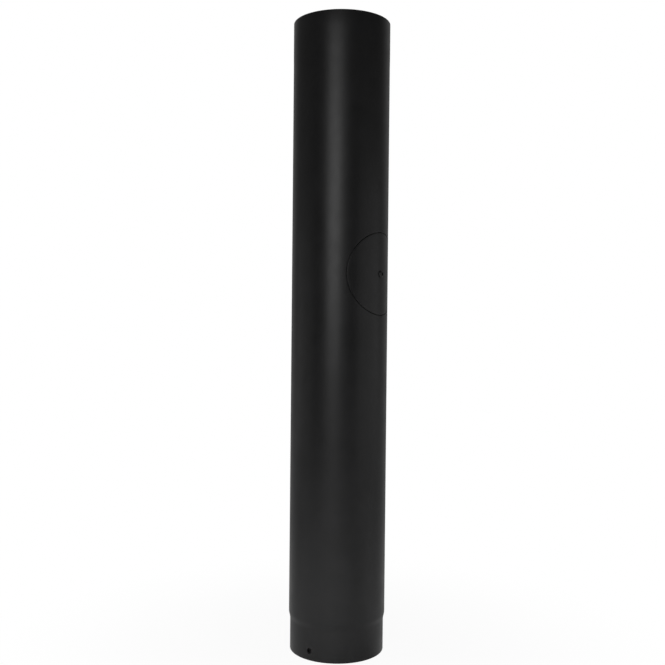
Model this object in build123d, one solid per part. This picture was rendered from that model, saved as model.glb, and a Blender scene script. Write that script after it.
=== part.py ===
from build123d import *
from math import atan2, cos, pi, sin, sqrt, tan
import os

# Flue pipe with a flush inspection door, standing on its spigot end. Millimetres, +Z up the pipe.
# The origin is the centre of the spigot's end and the door faces -Y.

# Pipe: one rolled and seam-welded sheet, swaged to a spigot below and sized to a socket above
pipe_length = 1000.0
pipe_diameter = 154.0
wall = 2.0
socket_growth = 0.2
socket_depth = 50.0
socket_taper = 20.0
spigot_clearance = 0.3
spigot_length = 50.0
swage_length = 9.0
swage_bend_share = 0.6
rim_chamfer = 0.3
hanging_hole = 8.0
hanging_hole_height = 14.5

# Door: a disc that was round in the flat sheet, rolled to the pipe's curve
door_height = 600.0
door_diameter = 128.0
door_gap = 0.9
screw_hole = 6.5

# Seat: a joggled ring spot-welded inside the opening, with a lip that the gasket meets
seat_sheet = 1.2
seat_lip = 8.0
seat_step = 1.2
seat_flange = 8.0
gasket_sheet = 0.9
gasket_width = 5.0
gasket_inset = 1.5
gasket_clearance = 0.3

# Latch: a socket screw that carries a cranked bar behind the lip
screw_diameter = 6.0
screw_tail = 3.4
head_diameter = 10.5
head_height = 3.3
head_rim = 0.8
head_flat = 5.6
head_play = 0.2
key_width = 4.0
key_depth = 2.0
shank_clearance = 0.2
washer_diameter = 12.0
washer_sheet = 1.6
washer_play = 0.1
spring_diameter = 11.8
spring_sheet = 1.6
spring_split = 1.0
spacer_diameter = 10.0
bar_sheet = 4.0
bar_width = 16.0
bar_catch = 8.2
bar_pad_length = 12.0
bar_bend = 6.0
bar_clearance = 0.4
nut_width = 10.0
nut_height = 6.0
nut_chamfer = 0.6
thread_clearance = 0.05

# Places that follow from the sizes above
pipe_radius = pipe_diameter / 2
bore = pipe_radius - wall
socket_outside = pipe_radius + socket_growth
spigot_radius = bore + socket_growth - spigot_clearance
swage_slope = atan2(pipe_radius - spigot_radius, swage_length)
swage_bend = swage_bend_share * swage_length / cos(swage_slope) / 2 / tan(swage_slope / 2)
door_radius = door_diameter / 2
opening_radius = door_radius + door_gap
lip_radius = opening_radius - seat_lip
step_radius = opening_radius + seat_step
lip_outside = bore - gasket_sheet - gasket_clearance
lip_inside = lip_outside - seat_sheet
head_seat = pipe_radius + head_play
washer_seat = sqrt(bore**2 - (washer_diameter / 2) ** 2) - washer_play
spring_seat = washer_seat - washer_sheet
spacer_seat = spring_seat - spring_sheet
pad_radius = lip_inside - bar_clearance - bar_sheet / 2
pad_turn = (lip_radius + bar_catch / 2) / pipe_radius
bar_reach = lip_inside * sin((lip_radius + bar_catch) / pipe_radius)
bar_bend_half = pad_radius * sin(pad_turn) - bar_pad_length / 2 * cos(pad_turn)
bar_middle = pad_radius * cos(pad_turn) + bar_pad_length / 2 * sin(pad_turn)
bar_outside = bar_middle + bar_sheet / 2
bar_inside = bar_middle - bar_sheet / 2
nut_inside = bar_inside - nut_height
screw_end = nut_inside - screw_tail
shank_hole = screw_diameter / 2 + shank_clearance

# Curve spans in a quarter of a wrapped circle, and how far the cutting plugs reach past the walls
quarter_spans = 3
plug_reach = 20.0


def wall_line():
    """The pipe's outer face in section, from the spigot's end to the socket's mouth.

    The swage has round bends. The socket opens so little that its taper has plain corners.
    """
    socket_start = pipe_length - socket_depth
    return FilletPolyline(
        (spigot_radius, 0),
        (spigot_radius, spigot_length),
        (pipe_radius, spigot_length + swage_length),
        (pipe_radius, socket_start - socket_taper),
        (socket_outside, socket_start),
        (socket_outside, pipe_length),
        radius=[swage_bend, swage_bend, 0, 0],
    )


def door_axis(depth):
    """The plane across the door's axis at this depth from the pipe's axis, facing outwards."""
    return Plane((0, -depth, door_height), x_dir=(1, 0, 0), z_dir=(0, -1, 0))


def wrapped_arc(blank_radius, depth, start):
    """A quarter of a flat blank's circle, where radial lines through it meet the plane at this depth.

    A point at turn t lies at the angle blank_radius * cos(t) / pipe_radius about the pipe's axis.
    """
    quarter = [pi / 2 * i / quarter_spans for i in range(quarter_spans + 1)]
    angles = [blank_radius * cos(start + t) / pipe_radius for t in quarter]
    rises = [blank_radius * sin(start + t) for t in quarter]
    points = [(depth * tan(angle), rise) for angle, rise in zip(angles, rises)]
    slopes = [
        (-depth * rise / pipe_radius / cos(angle) ** 2, angle * pipe_radius)
        for angle, rise in zip(angles, rises)
    ]
    ends = [slopes[0], slopes[-1]]
    return Edge.make_spline(points, tangents=ends, parameters=quarter, scale=False)


def wrapped_outline(blank_radius, depth):
    """The whole circle of a flat blank, on the plane at this depth from the pipe's axis."""
    arcs = [wrapped_arc(blank_radius, depth, pi / 2 * i) for i in range(4)]
    return door_axis(depth) * make_face(arcs)


def wrapped_plug(blank_radius):
    """A plug with radial sides that cuts a circle of the flat sheet through the rolled wall."""
    inner = wrapped_outline(blank_radius, plug_reach)
    outer = wrapped_outline(blank_radius, pipe_radius + plug_reach)
    return loft([inner, outer], ruled=True)


def shell(inside, outside):
    """A length of tube about the pipe's axis, tall enough for the door and its seat."""
    height = 2 * (step_radius + seat_sheet + seat_flange + plug_reach)
    place = Pos(0, 0, door_height)
    return place * (Cylinder(outside, height) - Cylinder(inside, height))


def wrapped_ring(inside, outside, inner_blank, outer_blank):
    """A ring of sheet rolled to the pipe's curve, between two circles of the flat blank."""
    return shell(inside, outside) & (wrapped_plug(outer_blank) - wrapped_plug(inner_blank))


def disc(radius, start, length):
    """A round bar on the door's axis that starts at this depth and runs outwards."""
    return extrude(door_axis(start) * Circle(radius), length)


def flue_pipe():
    """The wall turned about its axis, with the door's opening and the hanging holes cut through."""
    outer = wall_line()
    inner = outer.moved(Location((-wall, 0)))
    ends = [Line(outer @ 0, inner @ 0), Line(outer @ 1, inner @ 1)]
    section = Plane.XZ * make_face([*outer.edges(), *inner.edges(), *ends])
    pipe = revolve(section, Axis.Z)
    rims = pipe.edges().filter_by_position(Axis.Z, 0, 0)
    rims += pipe.edges().filter_by_position(Axis.Z, pipe_length, pipe_length)
    pipe = chamfer(rims, rim_chamfer)
    hole = Plane.YZ * Pos(0, hanging_hole_height) * Circle(hanging_hole / 2)
    pipe -= extrude(hole, pipe_diameter, both=True)
    return pipe - wrapped_plug(opening_radius)


def door_seat():
    """The lip behind the opening, the step outside it, and the flange that is welded to the bore."""
    step_outer = step_radius + seat_sheet
    lip = wrapped_ring(lip_inside, lip_outside, lip_radius, step_outer)
    step = wrapped_ring(lip_inside, bore, step_radius, step_outer)
    flange = wrapped_ring(bore - seat_sheet, bore, step_radius, step_outer + seat_flange)
    return lip + step + flange


def door_cover():
    """The rolled disc, flush with the pipe, with the screw's hole at its centre."""
    cover = shell(bore, pipe_radius) & wrapped_plug(door_radius)
    return cover - disc(screw_hole / 2, 0, pipe_diameter)


def door_gasket():
    """The fibre ring on the cover's inner face, just inside its edge."""
    outer_blank = door_radius - gasket_inset
    return wrapped_ring(bore - gasket_sheet, bore, outer_blank - gasket_width, outer_blank)


def latch_screw():
    """A domed head with a hexagon socket, and its plain shank."""
    rim, flat = head_diameter / 2, head_flat / 2
    squares = rim**2 + head_rim**2 - flat**2 - head_height**2
    dome_centre = squares / (2 * (head_rim - head_height))
    dome = Sphere(sqrt(rim**2 + (head_rim - dome_centre) ** 2))
    head = disc(rim, head_seat, head_height)
    head &= Pos(0, -head_seat - dome_centre, door_height) * dome
    key = RegularPolygon(key_width / 2, 6, major_radius=False)
    head -= extrude(door_axis(head_seat + head_height) * key, -key_depth)
    return head + disc(screw_diameter / 2, screw_end, head_seat - screw_end)


def flat_washer():
    """The washer that bears on the cover's inner face."""
    ring = disc(washer_diameter / 2, spring_seat, washer_sheet)
    return ring - disc(shank_hole, spring_seat, washer_sheet)


def spring_washer():
    """The split ring between the washer and the spacer."""
    ring = disc(spring_diameter / 2, spacer_seat, spring_sheet)
    ring -= disc(shank_hole, spacer_seat, spring_sheet)
    cut = Pos(0, spring_diameter / 2) * Rectangle(spring_split, spring_diameter)
    return ring - extrude(door_axis(spacer_seat) * cut, spring_sheet)


def latch_spacer():
    """The tube that holds the bar at its depth behind the lip."""
    length = spacer_seat - bar_outside
    tube = disc(spacer_diameter / 2, bar_outside, length)
    return tube - disc(shank_hole, bar_outside, length)


def latch_bar():
    """A flat bar, upright at rest, with both ends cranked to the lip's slope and rounded about the screw."""
    pad_end = Vector(cos(pad_turn), -sin(pad_turn)) * bar_pad_length
    bend = Vector(bar_bend_half, bar_middle)
    tip = bend + pad_end
    line = FilletPolyline(
        (-tip.X, tip.Y),
        (-bend.X, bend.Y),
        (bend.X, bend.Y),
        (tip.X, tip.Y),
        radius=bar_bend,
    )
    side = Plane((0, 0, door_height), x_dir=(0, 0, 1), z_dir=(1, 0, 0))
    bar = extrude(side * trace(line, bar_sheet), bar_width / 2, both=True)
    bar &= disc(bar_reach, 0, pipe_radius)
    return bar - disc(shank_hole, 0, pipe_radius)


def lock_nut():
    """The hexagon nut, chamfered at its corners, that grips the bar against the spacer."""
    hexagon = RegularPolygon(nut_width / 2, 6, major_radius=False)
    nut = extrude(door_axis(nut_inside) * hexagon, nut_height)
    turned = disc(nut_width / sqrt(3), nut_inside, nut_height)
    nut &= chamfer(turned.edges().filter_by(GeomType.CIRCLE), nut_chamfer)
    return nut - disc(screw_diameter / 2 + thread_clearance, nut_inside, nut_height)


pieces = [
    flue_pipe,
    door_seat,
    door_cover,
    door_gasket,
    latch_screw,
    flat_washer,
    spring_washer,
    latch_spacer,
    latch_bar,
    lock_nut,
]

os.makedirs("parts", exist_ok=True)
for piece in pieces:
    export_step(piece(), f"parts/{piece.__name__}.step")
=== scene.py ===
"""A flue pipe with a flush inspection door, dressed on the frame of its solids. Metres, +Z up the pipe.

The pipe stands on its spigot with its axis on Z, and the door faces -Y. Every piece is a surface worked
out on a grid of two parameters, with its place in its mesh.
"""
import logging
from dataclasses import dataclass, field
from enum import Enum
from functools import partial, reduce
from typing import Self

import bpy
import numpy as np
from mathutils import Matrix, Vector


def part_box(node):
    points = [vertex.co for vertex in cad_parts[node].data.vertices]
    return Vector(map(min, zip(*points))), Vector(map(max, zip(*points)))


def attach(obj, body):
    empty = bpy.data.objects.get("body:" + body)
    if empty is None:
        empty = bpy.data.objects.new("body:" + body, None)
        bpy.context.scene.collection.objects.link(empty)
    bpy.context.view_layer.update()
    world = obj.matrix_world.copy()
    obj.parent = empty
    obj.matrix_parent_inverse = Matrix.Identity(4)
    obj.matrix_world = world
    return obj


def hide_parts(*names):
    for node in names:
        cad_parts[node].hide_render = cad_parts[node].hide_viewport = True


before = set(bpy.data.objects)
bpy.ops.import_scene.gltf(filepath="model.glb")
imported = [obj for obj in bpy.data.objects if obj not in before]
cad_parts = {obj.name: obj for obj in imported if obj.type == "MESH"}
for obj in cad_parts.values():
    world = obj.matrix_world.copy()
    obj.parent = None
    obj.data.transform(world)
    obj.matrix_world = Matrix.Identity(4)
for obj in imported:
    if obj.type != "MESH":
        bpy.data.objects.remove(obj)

LOG = logging.getLogger("flue_pipe")
MM = 0.001

# Points that agree to this distance are welded, and rows or columns that agree to these decimals are one
WELD = 0.001 * MM
DECIMALS = 9

# Steps across a rounded corner, and the angles of a quarter-round edge
CORNER_STEPS = 4
QUARTER = np.linspace(0.0, np.pi / 2, CORNER_STEPS + 1)

# Steps round the door's blank and round the latch's axis
BLANK_STEPS = 288
LATCH_STEPS = 96

WHITE = (1.0, 1.0, 1.0, 1.0)
Pair = tuple[float, float]
Colour = tuple[float, float, float]
Socket = bpy.types.NodeSocket


class Body(Enum):
    """The three bodies that a piece can ride on."""

    PIPE = "pipe"
    DOOR = "door"
    LATCH = "latch"


class Slot(Enum):
    """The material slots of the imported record."""

    ENAMEL = "enamel"
    FIBRE = "gasket_fibre"
    BLACK_STEEL = "black_steel"
    ZINC_STEEL = "zinc_steel"


class Ray(Enum):
    """The kinds of ray that see the white of the floor and of the surround."""

    CAMERA = "Is Camera Ray"
    GLOSSY = "Is Glossy Ray"
    TRANSMISSION = "Is Transmission Ray"


# Grids and meshes


def turns(count: int, start: float = 0.0) -> np.ndarray:
    """Returns the angles of a full turn in equal steps, with both ends included."""
    return start + np.linspace(0.0, 2.0 * np.pi, count + 1)


def rounded_loop(corners: np.ndarray, radius: float) -> np.ndarray:
    """Rounds the corners of a closed outline.

    Each corner P with unit directions a and b to its neighbours becomes a quadratic curve from
    P + r a to P + r b that is pulled towards P, where r is the radius.

    Args:
        corners: The outline's corners in order, shape (n, 2).
        radius: How far the rounding runs along each side.

    Returns:
        The rounded outline, closed, with its first point repeated at the end.
    """
    before = np.roll(corners, 1, axis=0) - corners
    after = np.roll(corners, -1, axis=0) - corners
    start = corners + radius * before / np.linalg.norm(before, axis=1, keepdims=True)
    end = corners + radius * after / np.linalg.norm(after, axis=1, keepdims=True)
    w = np.linspace(0.0, 1.0, CORNER_STEPS + 1)[None, :, None]
    curves = (1 - w) ** 2 * start[:, None] + 2 * w * (1 - w) * corners[:, None] + w**2 * end[:, None]
    loop = curves.reshape(-1, 2)
    return np.vstack([loop, loop[:1]])


def refined(loop: np.ndarray, step: float) -> np.ndarray:
    """Adds points along an outline so that no stretch of it is longer than a step.

    Args:
        loop: The outline, shape (n, 2).
        step: Longest stretch.

    Returns:
        The outline with its own points and the added ones.
    """
    run = np.concatenate([[0.0], np.cumsum(np.linalg.norm(np.diff(loop, axis=0), axis=1))])
    stretches = np.nonzero(np.diff(run) > step)[0]
    counts = (np.diff(run)[stretches] / step).astype(int) + 2
    extra = [np.linspace(run[i], run[i + 1], count)[1:-1] for i, count in zip(stretches, counts)]
    places = np.sort(np.concatenate([run, *extra]))
    return np.stack([np.interp(places, run, loop[:, 0]), np.interp(places, run, loop[:, 1])], axis=1)


def hexagon(turn: np.ndarray, width: float) -> np.ndarray:
    """Returns the radius of a hexagon: half its width over the cosine of the turn from its nearest side."""
    hair = 1e-9
    return width / 2 / np.cos(np.mod(turn + hair, np.pi / 3) - np.pi / 6)


def square(turn: np.ndarray, half: float) -> np.ndarray:
    """Returns the radius of a square: half its side, over the larger of |cos(turn)| and |sin(turn)|."""
    return half / np.maximum(np.abs(np.cos(turn)), np.abs(np.sin(turn)))


def square_steps(half: float, count: int) -> np.ndarray:
    """Returns where rays at equal turns meet a square's side: half tan(s), s from -45 to 45 degrees."""
    return half * np.tan(np.linspace(-np.pi / 4, np.pi / 4, count + 1))


def rolled(angle: np.ndarray, radius: np.ndarray, height: np.ndarray) -> np.ndarray:
    """Returns the points at these angles from -Y, distances from the pipe's axis and heights."""
    angle, radius, height = np.broadcast_arrays(angle, radius, height)
    return np.stack([radius * np.sin(angle), -radius * np.cos(angle), height], axis=-1)


def grid_faces(rows: int, columns: int, offset: int) -> np.ndarray:
    """Returns the four corners of each face of a grid whose points run row by row from an offset."""
    corner = np.arange(rows * columns).reshape(rows, columns)[:-1, :-1].ravel() + offset
    return np.stack([corner, corner + 1, corner + columns + 1, corner + columns], axis=1)


@dataclass
class Skin:
    """Patches of a surface, gathered and then welded into one closed mesh."""

    points: list[np.ndarray] = field(default_factory=list)
    faces: list[np.ndarray] = field(default_factory=list)
    count: int = 0

    def add(self, grid: np.ndarray, keep: np.ndarray | None = None, flip: bool = False) -> Self:
        """Adds a grid of points as a patch.

        Args:
            grid: Points, shape (rows, columns, 3).
            keep: Which faces to keep, shape (rows - 1, columns - 1), or None for all.
            flip: Turns the patch's faces round.

        Returns:
            The skin itself.
        """
        rows, columns = grid.shape[:2]
        faces = grid_faces(rows, columns, self.count)
        if keep is not None:
            faces = faces[keep.ravel()]
        self.points.append(grid.reshape(-1, 3))
        self.faces.append(faces[:, ::-1] if flip else faces)
        self.count += rows * columns
        return self

    def mesh(self, name: str, sharp: float = 40.0) -> bpy.types.Mesh:
        """Welds the patches and makes the mesh.

        Points that agree become one, a face with two corners in one point becomes a triangle, and a
        face with fewer corners than that is dropped.

        Args:
            name: Name of the mesh.
            sharp: Edges that turn by more than this many degrees are shaded sharp.

        Returns:
            The smooth-shaded mesh.
        """
        points, faces = np.vstack(self.points), np.vstack(self.faces)
        keys = np.round(points / WELD).astype(np.int64)
        _, first, place = np.unique(keys, axis=0, return_index=True, return_inverse=True)
        faces = place.ravel()[faces]
        same = faces == np.roll(faces, -1, axis=1)
        quads = faces[~same.any(axis=1)]
        single = same.sum(axis=1) == 1
        drop = same[single].argmax(axis=1)[:, None]
        triangles = faces[single][np.arange(4)[None, :] != drop].reshape(-1, 3)
        used, packed = np.unique(np.concatenate([quads.ravel(), triangles.ravel()]), return_inverse=True)
        sizes = np.concatenate([np.full(len(quads), 4), np.full(len(triangles), 3)])
        mesh = bpy.data.meshes.new(name)
        mesh.vertices.add(len(used))
        mesh.vertices.foreach_set("co", points[first][used].ravel())
        mesh.loops.add(len(packed))
        mesh.loops.foreach_set("vertex_index", packed.ravel())
        mesh.polygons.add(len(sizes))
        mesh.polygons.foreach_set("loop_start", np.concatenate([[0], np.cumsum(sizes)[:-1]]))
        mesh.update(calc_edges=True)
        mesh.validate()
        mesh.shade_smooth()
        mesh.set_sharp_from_angle(angle=np.radians(sharp))
        return mesh


def dress(
    mesh: bpy.types.Mesh, node: str, body: Body, finish: bpy.types.Material
) -> bpy.types.Object:
    """Makes a piece of a mesh that stands for a node of the frame.

    Args:
        mesh: The piece's mesh, with its place in it.
        node: The node that it stands for.
        body: The body that it rides on.
        finish: The material.

    Returns:
        The piece.
    """
    piece = bpy.data.objects.new(f"{node}_skin", mesh)
    bpy.context.scene.collection.objects.link(piece)
    mesh.materials.append(finish)
    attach(piece, body.value)
    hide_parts(node)
    LOG.info("%s: %d faces on %s", piece.name, len(mesh.polygons), body.value)
    return piece


# Finishes


class NodeKit:
    """A node tree with short calls to add and join nodes."""

    def __init__(self, tree: bpy.types.NodeTree) -> None:
        """Takes the tree to add to."""
        self.tree = tree

    def node(self, kind: str) -> bpy.types.Node:
        """Adds a shader node of a kind, such as Bump."""
        return self.tree.nodes.new(f"ShaderNode{kind}")

    def join(self, source: Socket, target: Socket) -> None:
        """Joins two sockets."""
        self.tree.links.new(source, target)

    def maths(self, kind: str, *values: Socket | float) -> Socket:
        """Works out a value from two others.

        Args:
            kind: The operation's name.
            values: Sockets or numbers that go in.

        Returns:
            The result's socket.
        """
        node = self.node("Math")
        node.operation = kind
        for slot, value in zip(node.inputs, values):
            if isinstance(value, float):
                slot.default_value = value
            else:
                self.join(value, slot)
        return node.outputs[0]

    def product(self, *values: Socket) -> Socket:
        """Multiplies any number of values."""
        return reduce(partial(self.maths, "MULTIPLY"), values)

    def greatest(self, *values: Socket) -> Socket:
        """Returns the greatest of any number of values."""
        return reduce(partial(self.maths, "MAXIMUM"), values)

    def mapped(self, value: Socket, span: Pair, ends: Pair, smooth: bool = False) -> Socket:
        """Maps a value from one range to another, held at both ends.

        Args:
            value: The value's socket.
            span: Where the value starts to count, and where it counts in full.
            ends: What these two become.
            smooth: Eases in and out between them.

        Returns:
            The mapped socket.
        """
        node = self.node("MapRange")
        node.interpolation_type = "SMOOTHSTEP" if smooth else "LINEAR"
        for name, number in zip(("From Min", "From Max", "To Min", "To Max"), (*span, *ends)):
            node.inputs[name].default_value = number
        self.join(value, node.inputs["Value"])
        return node.outputs["Result"]

    def reach(self, vector: Socket, direction: Vector | None = None) -> Socket:
        """Works out how far a vector reaches along a direction.

        Args:
            vector: The vector's socket.
            direction: The direction, of length 1, or None for the vector's own.

        Returns:
            The reach's socket.
        """
        node = self.node("VectorMath")
        node.operation = "LENGTH"
        if direction is not None:
            node.operation = "DOT_PRODUCT"
            node.inputs[1].default_value = direction
        self.join(vector, node.inputs[0])
        return node.outputs["Value"]

    def rays(self, *kinds: Ray) -> Socket:
        """Returns a factor that is 1 for rays of these kinds."""
        path = self.node("LightPath")
        return self.greatest(*(path.outputs[kind.value] for kind in kinds))

    def show_white(
        self, share: Socket, own: bpy.types.Node, white: bpy.types.Node, target: bpy.types.Node
    ) -> None:
        """Mixes a surface's own shader with plain white.

        Args:
            share: Share of the white.
            own: The surface's own shader.
            white: The shader that gives the white.
            target: The tree's output.
        """
        mix = self.node("MixShader")
        self.join(share, mix.inputs["Fac"])
        self.join(own.outputs[0], mix.inputs[1])
        self.join(white.outputs[0], mix.inputs[2])
        self.join(mix.outputs[0], target.inputs["Surface"])


class NodeBench(NodeKit):
    """A material's nodes, with patterns on the piece's own coordinates."""

    # The part of a noise pattern's range that counts
    noise_span = (0.3, 0.7)

    def __init__(self, name: str) -> None:
        """Starts a material with one Principled shader.

        Args:
            name: Name of the material.
        """
        self.material = bpy.data.materials.new(name)
        self.material.use_nodes = True
        super().__init__(self.material.node_tree)
        self.shader = self.tree.nodes["Principled BSDF"]
        self.place = self.node("TexCoord").outputs["Object"]

    def fix(self, name: str, value: float | tuple[float, ...]) -> None:
        """Sets one of the shader's inputs."""
        self.shader.inputs[name].default_value = value

    def feed(self, name: str, source: Socket) -> None:
        """Joins a pattern to one of the shader's inputs."""
        self.join(source, self.shader.inputs[name])

    def noise(self, scale: float, detail: float = 3.0, rough: float = 0.5) -> Socket:
        """Returns a noise pattern on the piece's own coordinates.

        Args:
            scale: Features per metre.
            detail: Octaves.
            rough: Strength of each octave against the one before.

        Returns:
            The factor's socket.
        """
        node = self.node("TexNoise")
        for name, value in (("Scale", scale), ("Detail", detail), ("Roughness", rough)):
            node.inputs[name].default_value = value
        self.join(self.place, node.inputs["Vector"])
        return node.outputs["Fac"]

    def spread(self, pattern: Socket, ends: Pair = (0.0, 1.0)) -> Socket:
        """Spreads a noise pattern between two values."""
        return self.mapped(pattern, self.noise_span, ends)

    def blend(self, pattern: Socket, dark: Colour, light: Colour) -> Socket:
        """Blends two colours by a noise pattern.

        Args:
            pattern: The pattern.
            dark: Linear colour where it is low.
            light: Linear colour where it is high.

        Returns:
            The colour's socket.
        """
        node = self.node("Mix")
        node.data_type = "RGBA"
        ends = [socket for socket in node.inputs if socket.type == "RGBA"]
        for socket, value in zip(ends, (dark, light)):
            socket.default_value = (*value, 1.0)
        self.join(self.spread(pattern), node.inputs["Factor"])
        return next(socket for socket in node.outputs if socket.type == "RGBA")

    def bump(self, pattern: Socket, rise: Pair, below: Socket | None = None) -> Socket:
        """Raises the surface by a pattern.

        Args:
            pattern: The pattern.
            rise: Height of the pattern in metres, and strength of the effect.
            below: A bump that this one lies on.

        Returns:
            The normal's socket.
        """
        node = self.node("Bump")
        node.inputs["Distance"].default_value, node.inputs["Strength"].default_value = rise
        self.join(pattern, node.inputs["Height"])
        if below is not None:
            self.join(below, node.inputs["Normal"])
        return node.outputs["Normal"]


@dataclass(frozen=True)
class StoveEnamel:
    """Satin black stove enamel, sprayed: a fine peel, soft waves and a faint mottle."""

    dark: Colour = (0.007, 0.007, 0.0072)
    light: Colour = (0.0095, 0.0095, 0.0098)
    gloss: Pair = (0.34, 0.39)
    specular: float = 0.25
    mottle: float = 25.0
    waves: float = 60.0
    wave_rise: Pair = (0.05 * MM, 0.1)
    peel: float = 900.0
    peel_rise: Pair = (0.02 * MM, 0.12)

    def material(self) -> bpy.types.Material:
        """Returns the enamel."""
        bench = NodeBench("stove_enamel")
        bench.fix("Specular IOR Level", self.specular)
        bench.feed("Base Color", bench.blend(bench.noise(self.mottle), self.dark, self.light))
        bench.feed("Roughness", bench.spread(bench.noise(self.waves), self.gloss))
        soft = bench.bump(bench.noise(self.waves, detail=1.0), self.wave_rise)
        bench.feed("Normal", bench.bump(bench.noise(self.peel, detail=2.0), self.peel_rise, soft))
        return bench.material


@dataclass(frozen=True)
class FibrePaper:
    """Pressed ceramic-fibre paper: off-white, matt, with short felted fibres."""

    dark: Colour = (0.5, 0.48, 0.43)
    light: Colour = (0.68, 0.66, 0.61)
    rough: float = 0.95
    specular: float = 0.15
    lumps: float = 220.0
    lump_rise: Pair = (0.3 * MM, 0.4)
    fibres: float = 1400.0
    fibre_rise: Pair = (0.15 * MM, 0.6)

    def material(self) -> bpy.types.Material:
        """Returns the fibre paper."""
        bench = NodeBench("fibre_paper")
        bench.fix("Roughness", self.rough)
        bench.fix("Specular IOR Level", self.specular)
        bench.feed("Base Color", bench.blend(bench.noise(self.lumps, detail=4.0), self.dark, self.light))
        lumps = bench.bump(bench.noise(self.lumps, detail=2.0), self.lump_rise)
        fibres = bench.noise(self.fibres, detail=4.0, rough=0.7)
        bench.feed("Normal", bench.bump(fibres, self.fibre_rise, lumps))
        return bench.material


@dataclass(frozen=True)
class Plate:
    """A plated or blackened steel with a fine uneven gloss."""

    name: str
    dark: Colour
    light: Colour
    gloss: Pair
    metal: float
    specular: float = 0.5
    patches: float = 180.0
    gloss_patches: float = 360.0
    grain: float = 2500.0
    grain_rise: Pair = (0.02 * MM, 0.15)

    def material(self) -> bpy.types.Material:
        """Returns the finished steel."""
        bench = NodeBench(self.name)
        bench.fix("Metallic", self.metal)
        bench.fix("Specular IOR Level", self.specular)
        bench.feed("Base Color", bench.blend(bench.noise(self.patches, detail=4.0), self.dark, self.light))
        bench.feed("Roughness", bench.spread(bench.noise(self.gloss_patches), self.gloss))
        bench.feed("Normal", bench.bump(bench.noise(self.grain, detail=2.0), self.grain_rise))
        return bench.material


BLACK_OXIDE = Plate(
    "black_oxide",
    dark=(0.009, 0.009, 0.0093),
    light=(0.013, 0.013, 0.0134),
    gloss=(0.5, 0.6),
    metal=0.0,
    specular=0.3,
)
ZINC_PLATE = Plate(
    "zinc_plate",
    dark=(0.5, 0.51, 0.52),
    light=(0.62, 0.63, 0.64),
    gloss=(0.3, 0.45),
    metal=1.0,
)


# Sub-assemblies


@dataclass
class PipeFrame:
    """The sizes that the sub-assemblies share, with the length and the door's height from the frame."""

    radius: float = 77.0 * MM
    wall: float = 2.0 * MM
    lip: float = 56.9 * MM
    lip_drop: float = 1.2 * MM
    seat_sheet: float = 1.2 * MM
    door_height: float = field(init=False)
    length: float = field(init=False)

    def __post_init__(self) -> None:
        """Reads the pipe's length and the door's height from the frame."""
        low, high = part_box("door_cover")
        self.door_height = (low.z + high.z) / 2
        self.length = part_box("flue_pipe")[1].z

    @property
    def bore(self) -> float:
        """The radius of the pipe's inner face."""
        return self.radius - self.wall

    @property
    def lip_face(self) -> float:
        """The radius of the outer face of the seat's lip."""
        return self.bore - self.lip_drop

    @property
    def lip_back(self) -> float:
        """The radius of the inner face of the seat's lip."""
        return self.lip_face - self.seat_sheet

    def wrapped_ring(
        self, name: str, loop: np.ndarray, shift: np.ndarray | float = 0.0, steps: int = BLANK_STEPS
    ) -> bpy.types.Mesh:
        """Carries a closed section round a flat blank's circle, and rolls it to the pipe's curve.

        A point at a turn and radius of the blank lies radius cos(turn) along the arc of the pipe's
        outer face and radius sin(turn) above the door's centre.

        Args:
            name: Name of the mesh.
            loop: The section as pairs of blank radius and distance from the pipe's axis.
            shift: What each point's distance from the pipe's axis grows by.
            steps: Steps round the circle.

        Returns:
            The ring's mesh.
        """
        blank, distance = np.hsplit(loop, 2)
        along, rise = blank * np.cos(turns(steps)), blank * np.sin(turns(steps))
        grid = rolled(along / self.radius, distance + shift, self.door_height + rise)
        return Skin().add(grid).mesh(name)

    def turned(self, turn: np.ndarray, rho: np.ndarray, depth: np.ndarray) -> np.ndarray:
        """Returns the points at these turns about the latch's axis, distances from it and depths."""
        turn, rho, depth = np.broadcast_arrays(turn, rho, depth)
        return np.stack([rho * np.cos(turn), -depth, self.door_height + rho * np.sin(turn)], axis=-1)


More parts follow.
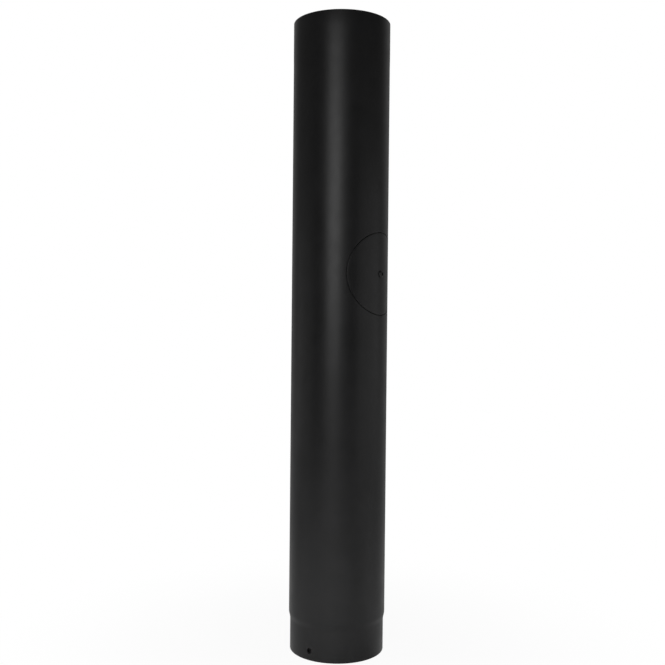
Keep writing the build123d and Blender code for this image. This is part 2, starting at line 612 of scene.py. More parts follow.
@dataclass
class Opening:
    """A round hole in the pipe's wall, and the square of the wall's grid that it takes the place of.

    Outside is the pipe's outer radius there, quarter and fill are the steps along the square's side and
    from the square to the hole, and a crowding under 1 draws these last together near the hole.
    """

    angle: float
    height: float
    hole: float
    half: float
    outside: float
    quarter: int
    fill: int
    edge: float = 0.4 * MM
    crowding: float = 0.7

    def columns(self) -> np.ndarray:
        """Returns the angles of the square's columns about the pipe's axis."""
        return self.angle + square_steps(self.half, self.quarter) / self.outside

    def rows(self) -> np.ndarray:
        """Returns the heights of the square's rows."""
        return self.height + square_steps(self.half, self.quarter)

    def spans_angle(self, angle: np.ndarray) -> np.ndarray:
        """Tells which angles lie between the square's sides."""
        return np.abs(angle - self.angle) < self.half / self.outside

    def spans_height(self, height: np.ndarray) -> np.ndarray:
        """Tells which heights lie between the square's ends."""
        return np.abs(height - self.height) < self.half

    def patch(self, wall: float) -> np.ndarray:
        """Works out the wall between the square and the hole, on both faces, with the hole's edge.

        Along each ray from the hole's centre the surface runs in on the outer face from the square to
        the hole, over a small round edge, through the wall and back out on the inner face.

        Args:
            wall: Thickness of the wall.

        Returns:
            Points, shape (rows, columns, 3).
        """
        turn = turns(4 * self.quarter, -np.pi / 4)
        start = square(turn, self.half)
        w = np.linspace(0.0, 1.0, self.fill + 1)[:-1, None]
        face = start + w**self.crowding * (self.hole + self.edge - start)
        rim = self.hole + self.edge * (1 - np.sin(QUARTER))
        drop = np.concatenate([np.zeros(self.fill), self.edge * (1 - np.cos(QUARTER))])
        blank = np.vstack([face, np.tile(rim[:, None], turn.size)])
        reach = np.vstack([blank, blank[::-1]])
        depth = np.concatenate([self.outside - drop, (self.outside - wall + drop)[::-1]])[:, None]
        angle = self.angle + reach * np.cos(turn) / self.outside
        return rolled(angle, depth, self.height + reach * np.sin(turn))


@dataclass
class FluePipe:
    """The swaged pipe with its welded door seat."""

    base: PipeFrame
    enamel: bpy.types.Material

    # Spigot, swage and socket
    spigot_length: float = 50.0 * MM
    spigot_shrink: float = 2.1 * MM
    swage_length: float = 9.0 * MM
    swage_bend: float = 2.74 * MM
    socket_growth: float = 0.2 * MM
    socket_depth: float = 50.0 * MM
    socket_taper: float = 20.0 * MM
    rim: float = 0.35 * MM

    # Door opening and hanging holes, each with half the side of its square in the grid
    opening: float = 64.9 * MM
    opening_half: float = 84.0 * MM
    hole: float = 4.0 * MM
    hole_height: float = 14.5 * MM
    hole_half: float = 10.0 * MM

    # Weld seam along the back
    seam_bead: float = 0.3 * MM
    seam_groove: float = 0.06 * MM
    seam_half: float = 1.8 * MM

    # Door seat with its spot welds
    step: float = 66.1 * MM
    flange: float = 75.3 * MM
    seat_edge: float = 0.3 * MM
    seat_stretch: float = 0.8 * MM
    seat_steps: int = 480
    spots: int = 16
    spot_blank: float = 71.3 * MM
    spot_radius: float = 2.4 * MM
    spot_depth: float = 0.15 * MM

    # Rows and columns of the wall's grid
    plain_rows: int = 41
    bend_rows: int = 21
    taper_rows: int = 9
    plain_columns: int = 180
    seam_columns: int = 7

    @property
    def swage_end(self) -> float:
        """The height where the swage reaches the plain pipe."""
        return self.spigot_length + self.swage_length

    @property
    def mouth(self) -> float:
        """The height where the socket has its full width."""
        return self.base.length - self.socket_depth

    def growth(self, height: np.ndarray) -> np.ndarray:
        """Works out how far the wall stands out from the plain pipe at a height.

        The swage is a straight slope with a parabola at each end, and the socket opens on a slope.

        Args:
            height: Heights above the spigot's end.

        Returns:
            Growth of the radius.
        """
        ends = [self.spigot_length, self.swage_end]
        slope, bend = self.spigot_shrink / self.swage_length, self.swage_bend
        low, high = (np.clip(bend - np.abs(height - end), 0.0, None) for end in ends)
        ramp = np.interp(height, ends, [-self.spigot_shrink, 0.0])
        swage = ramp + slope * (low**2 - high**2) / (4 * bend)
        taper = [self.mouth - self.socket_taper, self.mouth]
        return swage + np.interp(height, taper, [0.0, self.socket_growth])

    def openings(self) -> list[Opening]:
        """Returns the door's opening, and the hanging holes a quarter turn to either side of it."""
        door = (self.base.door_height, self.opening, self.opening_half, self.base.radius)
        side = (self.hole_height, self.hole, self.hole_half, self.base.radius - self.spigot_shrink)
        holes = [Opening(turn, *side, quarter=8, fill=4) for turn in (np.pi / 2, -np.pi / 2)]
        return [Opening(0.0, *door, quarter=48, fill=12), *holes]

    def rows(self, holes: list[Opening]) -> np.ndarray:
        """Gathers the heights of the wall's rows, close together at the bends and holes.

        Args:
            holes: The openings, whose squares need rows of their own.

        Returns:
            Heights in order, between the two rounded rims.
        """
        low, high = self.spigot_length - self.swage_bend, self.swage_end + self.swage_bend
        bends = np.linspace(low, high, self.bend_rows)
        plain = np.linspace(self.rim, self.base.length - self.rim, self.plain_rows)
        taper = np.linspace(self.mouth - self.socket_taper, self.mouth, self.taper_rows)
        taken = np.any([hole.spans_height(plain) for hole in holes], axis=0)
        taken[[0, -1]] = False
        squares = [hole.rows() for hole in holes]
        return np.unique(np.round(np.concatenate([bends, plain[~taken], taper, *squares]), DECIMALS))

    def columns(self, holes: list[Opening]) -> np.ndarray:
        """Gathers the angles of the wall's columns, with those of the openings' squares.

        Args:
            holes: The openings.

        Returns:
            Angles about the pipe's axis from -Y, in order, over one closed turn.
        """
        plain = turns(self.plain_columns, -np.pi)
        seam = np.linspace(0.0, self.seam_half / self.base.radius, self.seam_columns) - np.pi
        taken = np.any([hole.spans_angle(plain) for hole in holes], axis=0)
        squares = [hole.columns() for hole in holes]
        return np.unique(np.round(np.concatenate([plain[~taken], *squares, seam, -seam]), DECIMALS))

    def seam(self, height: np.ndarray, angle: np.ndarray) -> np.ndarray:
        """Works out the weld seam along the back, 1 on its line and 0 beside it.

        It is the square of a cosine of the distance from the seam's line. It fades out at the swage
        and at the socket's taper, where the ends were sized over it.

        Args:
            height: Heights of the rows.
            angle: Angles of the columns from -Y.

        Returns:
            The share of the seam's height, shape (rows, columns).
        """
        aside = np.clip((np.pi - np.abs(angle)) * self.base.radius / self.seam_half, 0.0, 1.0)
        ends = [self.spigot_length, self.swage_end, self.mouth - self.socket_taper, self.mouth]
        fade = np.interp(height, ends, [0.0, 1.0, 1.0, 0.0])
        return fade[:, None] * np.cos(np.pi / 2 * aside)[None, :] ** 2

    def rim_grid(self, outside: float, height: float, angle: np.ndarray, side: float) -> np.ndarray:
        """Works out a rim: the section turns through a quarter circle at each edge of the wall's end.

        Args:
            outside: The wall's outer radius there.
            height: Height where the rim's rounding starts.
            angle: The wall's columns.
            side: 1 for the upper end, -1 for the lower.

        Returns:
            Points, shape (rows, columns, 3).
        """
        drop, reach = self.rim * (1 - np.cos(QUARTER)), self.rim * np.sin(QUARTER)
        inside = outside - self.base.wall
        radius = np.concatenate([outside - drop, (inside + drop)[::-1]])
        rise = height + side * np.concatenate([reach, reach[::-1]])
        return rolled(angle, radius[:, None], rise[:, None])

    def wall(self) -> bpy.types.Mesh:
        """Makes the pipe's wall: both faces on one grid, the openings' patches and the rounded rims."""
        holes = self.openings()
        rows, columns = self.rows(holes), self.columns(holes)
        middle_rows, middle_columns = (rows[1:] + rows[:-1]) / 2, (columns[1:] + columns[:-1]) / 2
        cut = [np.outer(hole.spans_height(middle_rows), hole.spans_angle(middle_columns)) for hole in holes]
        keep = ~np.any(cut, axis=0)
        height, seam = rows[:, None], self.seam(rows, columns)
        outer = self.base.radius + self.growth(height)
        inner = outer - self.base.wall
        skin = Skin()
        skin.add(rolled(columns, outer - self.seam_groove * seam, height), keep)
        skin.add(rolled(columns, inner - self.seam_bead * seam, height), keep, flip=True)
        for hole in holes:
            skin.add(hole.patch(self.base.wall))
        skin.add(self.rim_grid(outer[0, 0], rows[0], columns, -1.0), flip=True)
        skin.add(self.rim_grid(outer[-1, 0], rows[-1], columns, 1.0))
        return skin.mesh("flue_pipe_skin")

    def seat(self) -> bpy.types.Mesh:
        """Makes the joggled seat: its section is a lip, a step back to the bore and a welded flange.

        The flange's inner face has a ring of spot welds, and each is a dent of depth (1 - d squared)
        squared, where d is the distance from its centre as a share of its radius.
        """
        lip, face, behind, bore = self.base.lip, self.base.lip_face, self.base.lip_back, self.base.bore
        back, inner = self.step + self.base.seat_sheet, bore - self.base.seat_sheet
        corners = np.array([
            (lip, face), (self.step, face), (self.step, bore), (self.flange, bore),
            (self.flange, inner), (back, inner), (back, behind), (lip, behind),
        ])
        loop = refined(rounded_loop(corners, self.seat_edge), self.seat_stretch)[::-1]
        blank, radius = np.hsplit(loop, 2)
        spacing = 2 * np.pi / self.spots
        aside = blank * (np.mod(turns(self.seat_steps), spacing) - spacing / 2)
        share = np.hypot(aside, blank - self.spot_blank) / self.spot_radius
        dent = self.spot_depth * np.clip(1 - share**2, 0.0, None) ** 2 * (radius < inner + self.spot_depth)
        return self.base.wrapped_ring("door_seat_skin", loop, dent, self.seat_steps)

    def build(self) -> None:
        """Makes and dresses the pipe and its seat."""
        dress(self.wall(), "flue_pipe", Body.PIPE, self.enamel)
        dress(self.seat(), "door_seat", Body.PIPE, self.enamel)


@dataclass
class InspectionDoor:
    """The rolled cover with its fibre gasket."""

    base: PipeFrame
    enamel: bpy.types.Material
    fibre: bpy.types.Material
    blank: float = 64.0 * MM
    screw_hole: float = 3.25 * MM
    edge: float = 0.4 * MM
    rows: int = 24
    gasket: Pair = (57.5 * MM, 62.5 * MM)
    gasket_sheet: float = 0.9 * MM
    gasket_edge: float = 0.25 * MM
    gasket_press: float = 0.12
    gasket_waves: tuple[int, ...] = (5, 13, 31)

    def cover(self) -> bpy.types.Mesh:
        """Makes the cover: a rounded section from the screw's hole to the rim, carried round the blank."""
        hole, blank, outside, inside = self.screw_hole, self.blank, self.base.radius, self.base.bore
        corners = np.array([(hole, outside), (hole, inside), (blank, inside), (blank, outside)])
        hole_edge, rim_edge = np.split(rounded_loop(corners, self.edge)[:-1], 2)
        across = np.linspace(blank - self.edge, hole + self.edge, self.rows)[1:-1]
        outer = np.stack([across, np.full(across.size, outside)], axis=1)
        inner = np.stack([across[::-1], np.full(across.size, inside)], axis=1)
        loop = np.vstack([hole_edge, inner, rim_edge, outer, hole_edge[:1]])
        return self.base.wrapped_ring("door_cover_skin", loop)

    def seal(self) -> bpy.types.Mesh:
        """Makes the gasket: a soft flat section carried round the blank, pressed thinner in places.

        Its thickness falls by a share of it that goes from none to the full press with the mean of a
        few sine waves of the turn.
        """
        near, far = self.gasket
        bore, face = self.base.bore, self.base.bore - self.gasket_sheet
        corners = np.array([(near, bore), (near, face), (far, face), (far, bore)])
        loop = rounded_loop(corners, self.gasket_edge)
        starts = np.arange(len(self.gasket_waves))[:, None]
        waves = np.sin(np.outer(self.gasket_waves, turns(BLANK_STEPS)) + starts).mean(axis=0)
        press = (bore - loop[:, 1:]) * self.gasket_press * (1 + waves) / 2
        return self.base.wrapped_ring("door_gasket_skin", loop, press)

    def build(self) -> None:
        """Makes and dresses the cover and its gasket."""
        dress(self.cover(), "door_cover", Body.DOOR, self.enamel)
        dress(self.seal(), "door_gasket", Body.DOOR, self.fibre)


@dataclass
class QuarterTurnLatch:
    """The socket screw that carries the cranked bar, with its washers, spacer and nut."""

    base: PipeFrame
    black: bpy.types.Material
    zinc: bpy.types.Material

    # Screw head and its key socket
    head: float = 5.25 * MM
    head_rim: float = 0.8 * MM
    head_flat: float = 2.8 * MM
    head_height: float = 3.3 * MM
    dome_rows: int = 12
    key_width: float = 4.0 * MM
    key_depth: float = 2.0 * MM
    key_cone: float = 0.5 * MM
    key_lead: float = 0.12 * MM

    # Threaded shank with its plain neck and its point
    shank: float = 3.0 * MM
    pitch: float = 1.0 * MM
    thread: float = 0.55 * MM
    thread_rows: int = 8
    flank: float = 1.3
    crest: float = 0.1
    neck: float = 0.6 * MM
    neck_start: float = 0.1 * MM
    point: float = 1.2 * MM

    # Rings on the shank and the nut
    bore: float = 3.2 * MM
    washer: float = 6.0 * MM
    spring: float = 5.9 * MM
    split: float = 1.0 * MM
    spacer: float = 5.0 * MM
    edge: float = 0.2 * MM
    nut_width: float = 10.0 * MM
    nut_bore: float = 3.05 * MM
    nut_chamfer: float = 0.6 * MM
    nut_lead: float = 0.35 * MM
    nut_sharp: float = 25.0

    # Cranked bar
    bar_half: float = 8.0 * MM
    bar_sheet: float = 4.0 * MM
    bar_bend: float = 6.0 * MM
    bar_catch: float = 8.2 * MM
    bar_clearance: float = 0.4 * MM
    bar_edge: float = 0.4 * MM
    bar_sharp: float = 50.0
    bar_quarter: int = 12
    bar_fill: int = 6
    arm_rows: int = 48
    pad_length: float = 12.0 * MM

    @property
    def pad_turn(self) -> float:
        """The slope of the pads, which is the angle about the pipe's axis where they meet the lip."""
        return (self.base.lip + self.bar_catch / 2) / self.base.radius

    @property
    def pad_start(self) -> float:
        """How far above and below the screw the pads start."""
        middle = self.base.lip_back - self.bar_clearance - self.bar_sheet / 2
        return middle * np.sin(self.pad_turn) - self.pad_length / 2 * np.cos(self.pad_turn)

    @property
    def bar_reach(self) -> float:
        """The radius of the bar's round ends about the screw."""
        return self.base.lip_back * np.sin((self.base.lip + self.bar_catch) / self.base.radius)

    def depths(self, node: str) -> Pair:
        """Returns a node's inner and outer depth in front of the pipe's axis."""
        low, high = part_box(node)
        return -high.y, -low.y

    def head_grid(self, turn: np.ndarray, top: float) -> tuple[np.ndarray, np.ndarray]:
        """Works out the head, from the middle of its socket outwards and down to its seat.

        The radius follows a hexagon in the socket and circles outside it. The dome is an arc through
        the edges of the flat and of the rim.

        Args:
            turn: Angles round the axis.
            top: Depth of the head's flat.

        Returns:
            The distance from the axis at each point, and the depth of each row.
        """
        seat, floor = top - self.head_height, top - self.key_depth
        key, flat, rim = hexagon(turn, self.key_width), self.head_flat, self.head
        squares = rim**2 + self.head_rim**2 - flat**2 - self.head_height**2
        centre = squares / (2 * (self.head_rim - self.head_height))
        arc = np.hypot(rim, self.head_rim - centre)
        sweep = np.linspace(np.arcsin(flat / arc), np.arcsin(rim / arc), self.dome_rows + 1)[1:]
        circles = np.concatenate([[flat], arc * np.sin(sweep), rim - self.edge * (1 - np.cos(QUARTER))])
        circles = np.tile(circles[:, None], turn.size)
        rho = np.vstack([0 * key, key / 2, key, key, key + self.key_lead, circles])
        socket = [floor - self.key_cone, floor - self.key_cone / 2, floor, top - self.key_lead, top, top]
        dome = seat + centre + arc * np.cos(sweep)
        return rho, np.concatenate([socket, dome, seat + self.edge * (1 - np.sin(QUARTER))])

    def shank_grid(self, turn: np.ndarray, seat: float, end: float) -> tuple[np.ndarray, np.ndarray]:
        """Works out the shank, from the head's seat to the middle of its end.

        The thread's radius falls and rises with the depth in pitches plus the turn in whole turns, so
        it winds along the shank. It starts below a plain neck and runs out in a chamfer.

        Args:
            turn: Angles round the axis.
            seat: Depth of the head's seat.
            end: Depth of the shank's end.

        Returns:
            The distance from the axis at each point, and the depth of each row.
        """
        run = np.arange(seat - self.neck_start, end, -self.pitch / self.thread_rows)
        depth = run[:, None]
        wave = np.abs(2 * np.mod(depth / self.pitch + turn / (2 * np.pi), 1.0) - 1)
        bite = self.thread * np.clip(self.flank * wave - self.crest, 0.0, 1.0)
        bite = bite * np.clip((seat - self.neck - depth) / self.pitch, 0.0, 1.0)
        threads = np.minimum(self.shank - bite, self.shank - self.thread + depth - end)
        ring = np.ones(turn.size)
        rho = np.vstack([self.shank * ring, threads, self.point * ring, 0 * ring])
        return rho, np.concatenate([[seat], run, [end, end]])

    def screw(self) -> bpy.types.Mesh:
        """Makes the screw: the rows of its head and then of its shank, turned about its axis."""
        turn = turns(LATCH_STEPS)
        end, top = self.depths("latch_screw")
        grids = self.head_grid(turn, top), self.shank_grid(turn, top - self.head_height, end)
        rho = np.vstack([grid[0] for grid in grids])
        depth = np.concatenate([grid[1] for grid in grids])
        return Skin().add(self.base.turned(turn, rho, depth[:, None]), flip=True).mesh("latch_screw_skin")

    def section(self, node: str, outer: float) -> np.ndarray:
        """Works out a ring's section: a rectangle between a node's two depths, with rounded edges.

        Args:
            node: The node whose depths it takes.
            outer: Outside radius.

        Returns:
            Pairs of distance from the latch's axis and depth.
        """
        low, high = self.depths(node)
        corners = np.array([(self.bore, low), (outer, low), (outer, high), (self.bore, high)])
        return rounded_loop(corners, self.edge)

    def ring(self, node: str, outer: float) -> bpy.types.Mesh:
        """Makes a plain ring for a node, its section carried round the latch's axis."""
        rho, depth = np.hsplit(self.section(node, outer), 2)
        return Skin().add(self.base.turned(turns(LATCH_STEPS), rho, depth)).mesh(f"{node}_skin")

    def split_ring(self) -> bpy.types.Mesh:
        """Makes the spring washer: a section carried round from one side of the split to the other.

        The split has parallel sides, so a point at radius r starts arcsin(half the split / r) past its
        middle.
        """
        rho, depth = np.hsplit(self.section("spring_washer", self.spring), 2)
        gap = np.arcsin(self.split / 2 / rho)
        turn = np.pi / 2 + gap + np.linspace(0.0, 1.0, LATCH_STEPS + 1) * (2 * np.pi - 2 * gap)
        body = self.base.turned(turn, rho, depth)
        skin = Skin().add(body)
        for end, flip in ((body[:, 0], False), (body[:, -1], True)):
            middle = np.broadcast_to(end[:-1].mean(axis=0), end.shape)
            skin.add(np.stack([end, middle]), flip=flip)
        return skin.mesh("spring_washer_skin")

    def bar_depth(self, rise: np.ndarray, offset: float) -> np.ndarray:
        """Works out the depth of one of the bar's faces.

        The face is level up to the bend, follows an arc there, and then falls away along the pad's slope.

        Args:
            rise: Height above or below the screw.
            offset: Distance of the face from the bar's middle surface.

        Returns:
            Depth in front of the pipe's axis.
        """
        outer = self.depths("latch_bar")[1]
        arc = self.bar_bend + offset
        start = self.pad_start - self.bar_bend * np.tan(self.pad_turn / 2)
        centre = outer - self.bar_sheet / 2 - self.bar_bend
        beyond, bend = np.abs(rise) - start, arc * np.sin(self.pad_turn)
        along = np.clip(beyond, 0.0, bend)
        past = np.clip(beyond - bend, 0.0, None)
        return centre + np.sqrt(arc**2 - along**2) - past * np.tan(self.pad_turn)

    def bar_face(self, offset: float) -> tuple[np.ndarray, np.ndarray, np.ndarray]:
        """Makes one face of the bar: a square with the screw's hole, and the two arms.

        Args:
            offset: Distance of the face from the bar's middle surface.

        Returns:
            The square from its edge to the hole, the upper arm and the lower arm.
        """
        turn = turns(4 * self.bar_quarter, -np.pi / 4)
        edge = square(turn, self.bar_half)
        rho = edge + np.linspace(0.0, 1.0, self.bar_fill + 1)[:, None] * (self.bore - edge)
        centre = self.base.turned(turn, rho, self.bar_depth(rho * np.sin(turn), offset))
        side = square_steps(self.bar_half, self.bar_quarter)
        tip = self.pad_start + self.pad_length * np.cos(self.pad_turn) + offset * np.sin(self.pad_turn)
        end = np.minimum(np.sqrt(self.bar_reach**2 - side**2), tip)
        rise = self.bar_half + np.linspace(0.0, 1.0, self.arm_rows + 1)[:, None] * (end - self.bar_half)
        x, y = side + 0 * rise, -self.bar_depth(rise, offset)
        upper, lower = (np.stack([x, y, self.base.door_height + way * rise], axis=-1) for way in (1.0, -1.0))
        return centre, upper, lower

    def bar(self) -> bpy.types.Mesh:
        """Makes the bar: both faces, the hole's wall and the walls along its sides and round ends."""
        skin = Skin()
        front, back = self.bar_face(self.bar_sheet / 2), self.bar_face(-self.bar_sheet / 2)
        for faces, behind in ((front, False), (back, True)):
            for face, turned in zip(faces, (behind, behind, not behind)):
                skin.add(face, flip=turned)
        skin.add(np.stack([front[0][-1], back[0][-1]]))
        for start in (0, 2 * self.bar_quarter):
            side = slice(start, start + self.bar_quarter + 1)
            skin.add(np.stack([front[0][0, side], back[0][0, side]]), flip=True)
        for arm, lower in ((1, False), (2, True)):
            skin.add(np.stack([front[arm][:, 0], back[arm][:, 0]]), flip=lower)
            skin.add(np.stack([front[arm][:, -1], back[arm][:, -1]]), flip=not lower)
            skin.add(np.stack([front[arm][-1], back[arm][-1]]), flip=lower)
        return skin.mesh("latch_bar_skin")

    def nut(self) -> bpy.types.Mesh:
        """Makes the nut: a hexagon whose corners are cut back by a cone at each face, with a leaded bore.

        Each half runs from the bore over its face to the side, and the outer half mirrors the inner.
        """
        turn = turns(LATCH_STEPS)
        low, high = self.depths("lock_nut")
        side = hexagon(turn, self.nut_width)
        edge = self.nut_width / np.sqrt(3) - self.nut_chamfer
        flat = np.zeros(turn.size)
        bore, mouth = self.nut_bore + flat, self.nut_bore + self.nut_lead + flat
        rho = np.stack([bore, mouth, np.minimum(side, edge), side])
        rise = np.stack([self.nut_lead + flat, flat, flat, np.clip(side - edge, 0.0, None)])
        depth = np.vstack([low + rise, high - rise[::-1], low + rise[:1]])
        rho = np.vstack([rho, rho[::-1], rho[:1]])
        return Skin().add(self.base.turned(turn, rho, depth)).mesh("lock_nut_skin", self.nut_sharp)

    def build(self) -> None:
        """Makes and dresses the latch's pieces, and rounds the bar's edges."""
        dress(self.screw(), "latch_screw", Body.LATCH, self.black)
        zinc = {
            "flat_washer": self.ring("flat_washer", self.washer),
            "spring_washer": self.split_ring(),
            "latch_spacer": self.ring("latch_spacer", self.spacer),
            "latch_bar": self.bar(),
            "lock_nut": self.nut(),
        }
        pieces = {}
        for node, mesh in zinc.items():
            pieces[node] = dress(mesh, node, Body.LATCH, self.zinc)
        bevel = pieces["latch_bar"].modifiers.new("rounded_edges", "BEVEL")
        bevel.width = self.bar_edge
        bevel.segments = 2
        bevel.limit_method = "ANGLE"
        bevel.angle_limit = np.radians(self.bar_sharp)


# Stage


@dataclass(frozen=True)
class Viewpoint:
    """Where the picture was taken: the eye's place, the camera's slight turns in degrees and its lens.

    The focal length and the frame's side are in pixels of the picture.
    """

    azimuth: float = -55.8
    distance: float = 1428.0 * MM
    eye: float = 524.6 * MM
    pitch: float = -0.687
    roll: float = 0.549
    yaw: float = -0.438
    focal: float = 886.0
    frame_pixels: float = 665.0
    sensor: float = 36.0

    def place(self, turn: float, distance: float = 1.0, height: float = 0.0) -> Vector:
        """Returns a point at an angle from the camera's side, at a distance from the pipe's axis."""
        angle = np.radians(self.azimuth + turn)
        return Vector((distance * np.sin(angle), -distance * np.cos(angle), height))

    def camera(self) -> None:
        """Sets the camera where the picture was taken, with its slight pitch, yaw and roll."""
        data = bpy.data.cameras.new("camera")
        data.sensor_width = self.sensor
        data.lens = self.focal / self.frame_pixels * self.sensor
        eye = bpy.data.objects.new("camera", data)
        bpy.context.scene.collection.objects.link(eye)
        turn, tilt, lean = np.radians([self.yaw, self.pitch, self.roll])
        forward = Vector((np.sin(turn) * np.cos(tilt), np.cos(turn) * np.cos(tilt), np.sin(tilt)))
        level = Vector((np.cos(turn), -np.sin(turn), 0.0))
        upright = level.cross(forward)
        right = level * np.cos(lean) + upright * np.sin(lean)
        up = upright * np.cos(lean) - level * np.sin(lean)
        axes = Matrix((right, up, -forward)).transposed()
        spin = Matrix.Rotation(np.radians(self.azimuth), 3, "Z")
        place = Matrix.Translation(self.place(0.0, self.distance, self.eye))
        eye.matrix_world = place @ (spin @ axes).to_4x4()
        bpy.context.scene.camera = eye


@dataclass(frozen=True)
class Lamp:
    """A soft lamp that faces the pipe's axis.

    Its angle is from the camera's side, in degrees. Its distance from the axis, its height, the height
    that it faces and its size are in metres, and its power is in watts.
    """

    name: str
    turn: float
    distance: float
    height: float
    aim: float
    size: Pair
    power: float
    in_gloss: bool = True

    def light(self, view: Viewpoint) -> None:
        """Adds the lamp to the scene.

        Args:
            view: The viewpoint that its angle is counted from.
        """
        data = bpy.data.lights.new(self.name, "AREA")
        data.shape = "RECTANGLE"
        data.size, data.size_y = self.size
        data.energy = self.power
        source = bpy.data.objects.new(self.name, data)
        source.location = view.place(self.turn, self.distance, self.height)
        facing = source.location - Vector((0.0, 0.0, self.aim))
        source.rotation_euler = facing.to_track_quat("Z", "Y").to_euler()
        source.visible_camera = False
        source.visible_glossy = self.in_gloss
        bpy.context.scene.collection.objects.link(source)


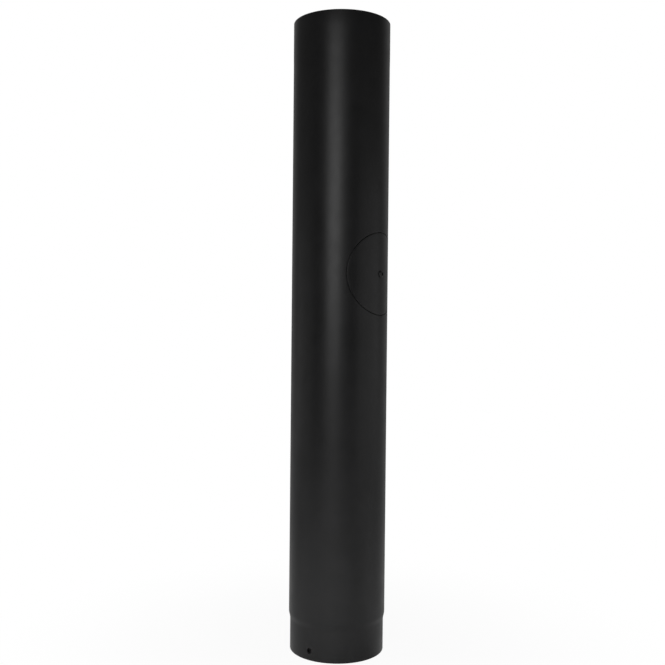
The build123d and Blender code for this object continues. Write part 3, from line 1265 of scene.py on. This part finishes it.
@dataclass
class Studio:
    """The white floor and surround, the soft lamps and the camera of the picture.

    Angles are in degrees from the camera's side, and a reach is where a change starts and ends, in
    metres from the pipe's axis. The foot is a radius just inside the spigot's outer face.
    """

    view: Viewpoint = Viewpoint()

    # Surround
    room: float = 0.1
    backdrop_turn: float = 174.0
    backdrop: Pair = (66.0, 40.0)
    backdrop_white: float = 0.28

    # Floor, with its own shade and the pipe's soft shadow
    floor_start: float = 0.02
    floor_reach: float = 14.0
    floor_rings: int = 24
    floor_steps: int = 64
    floor_shade: float = 0.8
    floor_rough: float = 0.9
    foot: float = 74.4 * MM
    shadow_reach: float = 0.6
    shadow_white: float = 0.95

    # Floor as the pipe's gloss shows it, with painted shade near the foot, in a dark sector on the right and
    # as a painted shadow behind the pipe
    gloss_reach: Pair = (0.35, 1.65)
    painted_foot_shade_reach: Pair = (0.08, 0.32)
    painted_foot_shade_white: float = 0.62
    painted_dark_sector_turn: float = 32.0
    painted_dark_sector_spread: Pair = (42.0, 6.0)
    painted_dark_sector_white: float = 0.58
    painted_shadow_reach: Pair = (-0.1, 0.12)
    painted_shadow_white: float = 0.45
    rear_reach: Pair = (-1.0, -0.3)

    lamps: tuple[Lamp, ...] = (
        Lamp("window", -13.8, 2.2, 1.0, 0.6, (1.1, 1.12), 17.4),
        Lamp("window_side", 9.0, 2.2, 1.0, 0.6, (0.5, 1.12), 0.7),
        Lamp("left", -90.0, 1.8, 0.44, 0.44, (1.7, 0.86), 2.0),
        Lamp("left_high", -95.0, 1.8, 1.45, 1.0, (1.6, 1.0), 0.4),
        Lamp("right", 74.0, 1.8, 0.52, 0.52, (2.2, 1.0), 4.9),
        Lamp("fill", -8.0, 0.45, 0.05, 0.05, (0.5, 0.1), 1.1, in_gloss=False),
    )

    def floor_gloss(self, bench: NodeBench, away: Socket) -> Socket:
        """Works out how white the floor is in the pipe's gloss.

        In front it fades with the distance, and painted shade dims it: close to the foot, in a sector on the
        right that darkens a valley in the pipe's gloss, and towards the back as a painted shadow of the
        pipe. Behind the pipe it meets the backdrop's white.

        Args:
            bench: The floor's material.
            away: Distance from the pipe's axis.

        Returns:
            The share of white.
        """
        front = bench.reach(bench.place, self.view.place(0.0))
        sector = bench.maths("DIVIDE", bench.reach(bench.place, self.view.place(self.painted_dark_sector_turn)), away)
        # Painted shade on the floor as gloss sees it: darker behind the pipe, near its foot and in a sector
        # on the right
        near = bench.product(
            bench.mapped(front, self.painted_shadow_reach, (self.painted_shadow_white, 1.0), smooth=True),
            bench.mapped(away, self.painted_foot_shade_reach, (self.painted_foot_shade_white, 1.0), smooth=True),
            bench.mapped(sector, np.cos(np.radians(self.painted_dark_sector_spread)), (1.0, self.painted_dark_sector_white), smooth=True),
            bench.mapped(away, self.gloss_reach, (1.0, 0.0), smooth=True),
        )
        rear = bench.mapped(front, self.rear_reach, (self.backdrop_white, 0.0), smooth=True)
        return bench.greatest(near, rear)

    def floor_white(self) -> bpy.types.Material:
        """Returns the floor's finish: white outside the foot, with the pipe's soft shadow."""
        bench = NodeBench("floor_white")
        bench.fix("Base Color", (self.floor_shade, self.floor_shade, self.floor_shade, 1.0))
        bench.fix("Roughness", self.floor_rough)
        away = bench.reach(bench.place)
        fade = bench.mapped(away, (self.foot, self.shadow_reach), (self.shadow_white, 1.0), smooth=True)
        seen = bench.product(fade, bench.rays(Ray.CAMERA, Ray.TRANSMISSION))
        # The floor's white in gloss carries the painted shade worked out in floor_gloss
        mirrored = bench.product(self.floor_gloss(bench, away), bench.rays(Ray.GLOSSY))
        outside = bench.maths("GREATER_THAN", away, self.foot)
        share = bench.product(outside, bench.greatest(seen, mirrored))
        bench.show_white(share, bench.shader, bench.node("Emission"), bench.tree.nodes["Material Output"])
        return bench.material

    def floor(self) -> None:
        """Lays a wide round floor: rings whose radius grows by equal shares."""
        rings = np.geomspace(self.floor_start, self.floor_reach, self.floor_rings)
        radius = np.concatenate([[0.0], rings])[:, None]
        turn = turns(self.floor_steps)[None, :]
        grid = np.stack([radius * np.cos(turn), radius * np.sin(turn), 0 * radius * turn], axis=-1)
        floor = bpy.data.objects.new("floor", Skin().add(grid, flip=True).mesh("floor"))
        bpy.context.scene.collection.objects.link(floor)
        floor.data.materials.append(self.floor_white())

    def surround(self) -> None:
        """Sets a dim room: gloss sees a white backdrop behind the pipe, the camera sees white all round."""
        world = bpy.data.worlds.new("surround")
        bpy.context.scene.world = world
        world.use_nodes = True
        kit = NodeKit(world.node_tree)
        own, white = kit.tree.nodes["Background"], kit.node("Background")
        own.inputs["Color"].default_value = WHITE
        own.inputs["Strength"].default_value = self.room
        white.inputs["Color"].default_value = WHITE
        direction = kit.node("TexCoord").outputs["Generated"]
        along = kit.reach(direction, self.view.place(self.backdrop_turn))
        spread = np.cos(np.radians(self.backdrop))
        behind = kit.mapped(along, spread, (0.0, self.backdrop_white), smooth=True)
        mirrored = kit.product(behind, kit.rays(Ray.GLOSSY))
        share = kit.greatest(mirrored, kit.rays(Ray.CAMERA, Ray.TRANSMISSION))
        kit.show_white(share, own, white, kit.tree.nodes["World Output"])

    def build(self) -> None:
        """Sets the stage, the lamps and the camera."""
        bpy.context.scene.view_settings.view_transform = "Standard"
        self.floor()
        self.surround()
        for lamp in self.lamps:
            lamp.light(self.view)
        self.view.camera()


def main() -> None:
    """Builds the pieces and the stage in order."""
    logging.basicConfig(level=logging.INFO, format="%(name)s: %(message)s")
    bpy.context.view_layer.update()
    base = PipeFrame()
    enamel = StoveEnamel().material()
    FluePipe(base, enamel).build()
    InspectionDoor(base, enamel, FibrePaper().material()).build()
    QuarterTurnLatch(base, BLACK_OXIDE.material(), ZINC_PLATE.material()).build()
    Studio().build()


if __name__ == "__main__":
    main()
